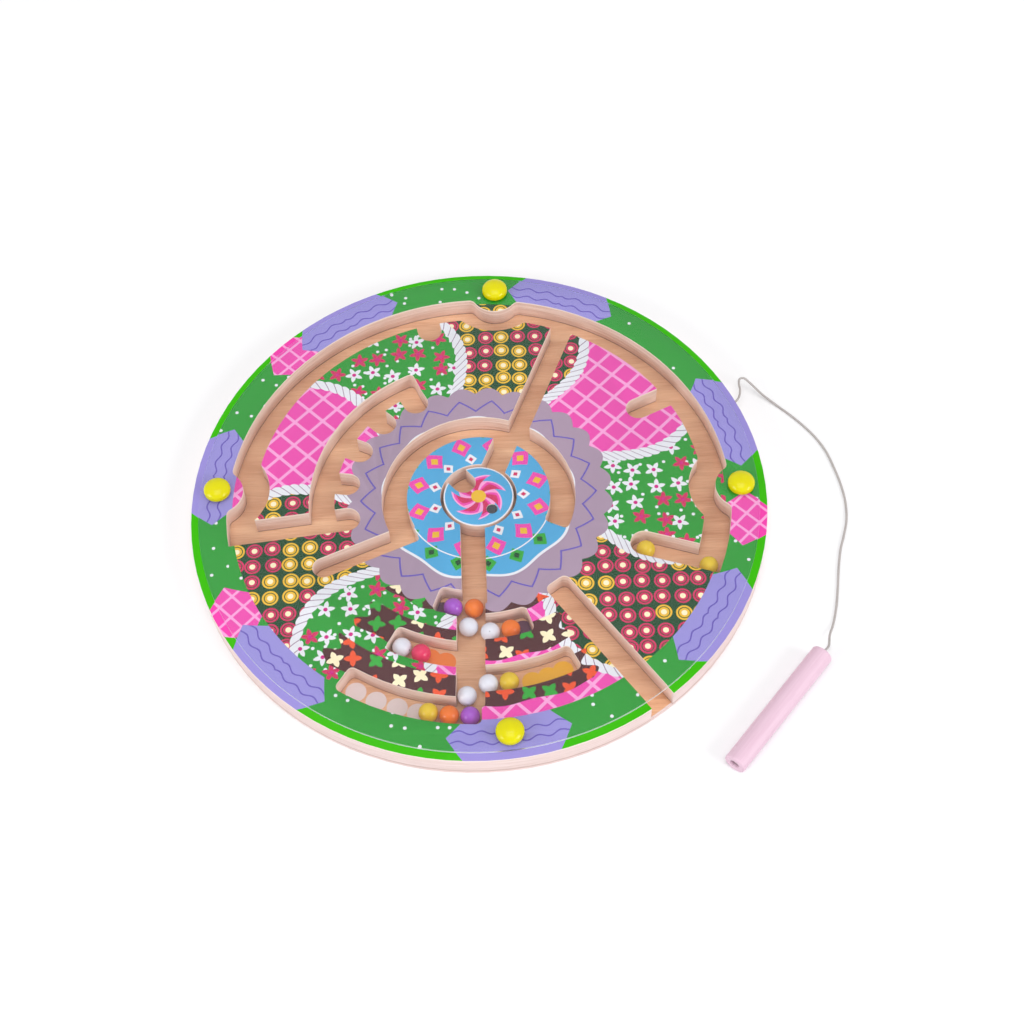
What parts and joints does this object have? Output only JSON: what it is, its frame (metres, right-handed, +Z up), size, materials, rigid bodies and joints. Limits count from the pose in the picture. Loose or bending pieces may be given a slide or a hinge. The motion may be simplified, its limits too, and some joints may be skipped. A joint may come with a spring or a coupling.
{
  "type": "magnetic maze game",
  "caption": "Round wooden bead maze under a clear cover, with a central turntable and a magnetic wand on a cord that pulls the beads along routed channels.",
  "frame": {"origin": "centre of the board's underside, on the table", "axes": "+Z up out of the clear cover; -Y toward the player, where the board's rows of beads are; +X to the player's right, where the cord leaves the rim"},
  "size_m": [0.3435, 0.3069, 0.0212],
  "materials": {
    "plywood": "bare sanded plywood",
    "printed_plywood": "plywood with a satin printed face; the routed walls and the edge are bare",
    "clear_acrylic": "clear and polished",
    "painted_turntable": "satin printed face on plywood",
    "yellow_plastic": "moulded, glossy",
    "steel": "zinc plated",
    "magnet": "nickel plated",
    "pink_wood": "satin paint over a turned dowel",
    "cord": "braided, matte",
    "purple_bead": "glossy lacquer",
    "orange_bead": "glossy lacquer",
    "white_bead": "glossy lacquer",
    "red_bead": "glossy lacquer",
    "yellow_bead": "glossy lacquer"
  },
  "bodies": {
    "board": {"backing_board": "plywood", "maze_board": "printed_plywood", "clear_cover": "clear_acrylic", "turntable_pivot": "yellow_plastic", "cord_end": "cord", "cover_screw_1": "steel", "cover_screw_2": "steel", "cover_screw_3": "steel", "cover_screw_4": "steel", "cap_base_1": "yellow_plastic", "cap_base_2": "yellow_plastic", "cap_base_3": "yellow_plastic", "cap_base_4": "yellow_plastic", "screw_cap_1": "yellow_plastic", "screw_cap_2": "yellow_plastic", "screw_cap_3": "yellow_plastic", "screw_cap_4": "yellow_plastic"},
    "turntable_disc": {"turntable": "painted_turntable", "turntable_slug": "steel"},
    "bead_purple_1": {"purple_bead_1": "purple_bead"},
    "bead_purple_2": {"purple_bead_2": "purple_bead"},
    "bead_orange_1": {"orange_bead_1": "orange_bead"},
    "bead_orange_2": {"orange_bead_2": "orange_bead"},
    "bead_orange_3": {"orange_bead_3": "orange_bead"},
    "bead_white_1": {"white_bead_1": "white_bead"},
    "bead_white_2": {"white_bead_2": "white_bead"},
    "bead_white_3": {"white_bead_3": "white_bead"},
    "bead_white_4": {"white_bead_4": "white_bead"},
    "bead_white_5": {"white_bead_5": "white_bead"},
    "bead_red_1": {"red_bead_1": "red_bead"},
    "bead_yellow_1": {"yellow_bead_1": "yellow_bead"},
    "bead_yellow_2": {"yellow_bead_2": "yellow_bead"},
    "bead_yellow_3": {"yellow_bead_3": "yellow_bead"},
    "bead_yellow_4": {"yellow_bead_4": "yellow_bead"},
    "cord": {"cord": "cord"},
    "wand": {"wand": "pink_wood", "wand_magnet": "magnet"}
  },
  "joints": [
    {"name": "turntable_spin", "type": "hinge", "parent": "board", "child": "turntable_disc", "pos_m": [0, 0, 0.008], "axis": [0, 0, 1], "continuous": true},
    {"name": "purple_bead_1_roll", "type": "hinge", "parent": "board", "child": "bead_purple_1", "pos_m": [0, 0, 0.0075], "axis": [0, 0, 1], "range_deg": [-3, 0]},
    {"name": "orange_bead_1_roll", "type": "slide", "parent": "board", "child": "bead_orange_1", "axis": [0, 1, 0], "range_m": [0, 0.036]},
    {"name": "white_bead_1_roll", "type": "slide", "parent": "board", "child": "bead_white_1", "axis": [-0.0312, -0.9995, 0], "range_m": [0, 0.016]},
    {"name": "orange_bead_2_roll", "type": "hinge", "parent": "board", "child": "bead_orange_2", "pos_m": [0, 0, 0.0075], "axis": [0, 0, 1], "range_deg": [0, 3.7]},
    {"name": "white_bead_2_roll", "type": "hinge", "parent": "board", "child": "bead_white_2", "pos_m": [0, 0, 0.0075], "axis": [0, 0, 1], "range_deg": [0, 3.7]},
    {"name": "red_bead_1_roll", "type": "hinge", "parent": "board", "child": "bead_red_1", "pos_m": [0, 0, 0.0075], "axis": [0, 0, 1], "range_deg": [0, 8]},
    {"name": "white_bead_3_roll", "type": "hinge", "parent": "board", "child": "bead_white_3", "pos_m": [0, 0, 0.0075], "axis": [0, 0, 1], "range_deg": [0, 8]},
    {"name": "yellow_bead_1_roll", "type": "hinge", "parent": "board", "child": "bead_yellow_1", "pos_m": [0, 0, 0.0075], "axis": [0, 0, 1], "range_deg": [0, 15.5]},
    {"name": "white_bead_4_roll", "type": "hinge", "parent": "board", "child": "bead_white_4", "pos_m": [0, 0, 0.0075], "axis": [0, 0, 1], "range_deg": [0, 15.5]},
    {"name": "white_bead_5_roll", "type": "slide", "parent": "board", "child": "bead_white_5", "axis": [0.0312, 0.9995, 0], "range_m": [0, 0.012]},
    {"name": "yellow_bead_2_roll", "type": "hinge", "parent": "board", "child": "bead_yellow_2", "pos_m": [0, 0, 0.0075], "axis": [0, 0, 1], "range_deg": [-18.5, 0]},
    {"name": "orange_bead_3_roll", "type": "hinge", "parent": "board", "child": "bead_orange_3", "pos_m": [0, 0, 0.0075], "axis": [0, 0, 1], "range_deg": [-18.5, 0]},
    {"name": "purple_bead_2_roll", "type": "hinge", "parent": "board", "child": "bead_purple_2", "pos_m": [0, 0, 0.0075], "axis": [0, 0, 1], "range_deg": [-18.5, 0]},
    {"name": "yellow_bead_3_roll", "type": "slide", "parent": "board", "child": "bead_yellow_3", "axis": [0.9478, -0.319, 0], "range_m": [0, 0.021]},
    {"name": "yellow_bead_4_roll", "type": "hinge", "parent": "board", "child": "bead_yellow_4", "pos_m": [0, 0, 0.0075], "axis": [0, 0, 1], "range_deg": [0, 13.5]},
    {"name": "cord_swing", "type": "hinge", "parent": "board", "child": "cord", "pos_m": [0.1386, 0.0574, 0.007], "axis": [0, 0, 1], "range_deg": [-8, 30]},
    {"name": "wand_turn", "type": "hinge", "parent": "cord", "child": "wand", "pos_m": [0.16778, -0.0966, 0.0056], "axis": [0, 0, 1], "range_deg": [-12, 45]}
  ],
  "couplings": [
    {"joint": "white_bead_2_roll", "follows": "orange_bead_2_roll", "ratio": 1},
    {"joint": "white_bead_3_roll", "follows": "red_bead_1_roll", "ratio": 1},
    {"joint": "white_bead_4_roll", "follows": "yellow_bead_1_roll", "ratio": 1},
    {"joint": "orange_bead_3_roll", "follows": "yellow_bead_2_roll", "ratio": 1},
    {"joint": "purple_bead_2_roll", "follows": "yellow_bead_2_roll", "ratio": 1}
  ]
}
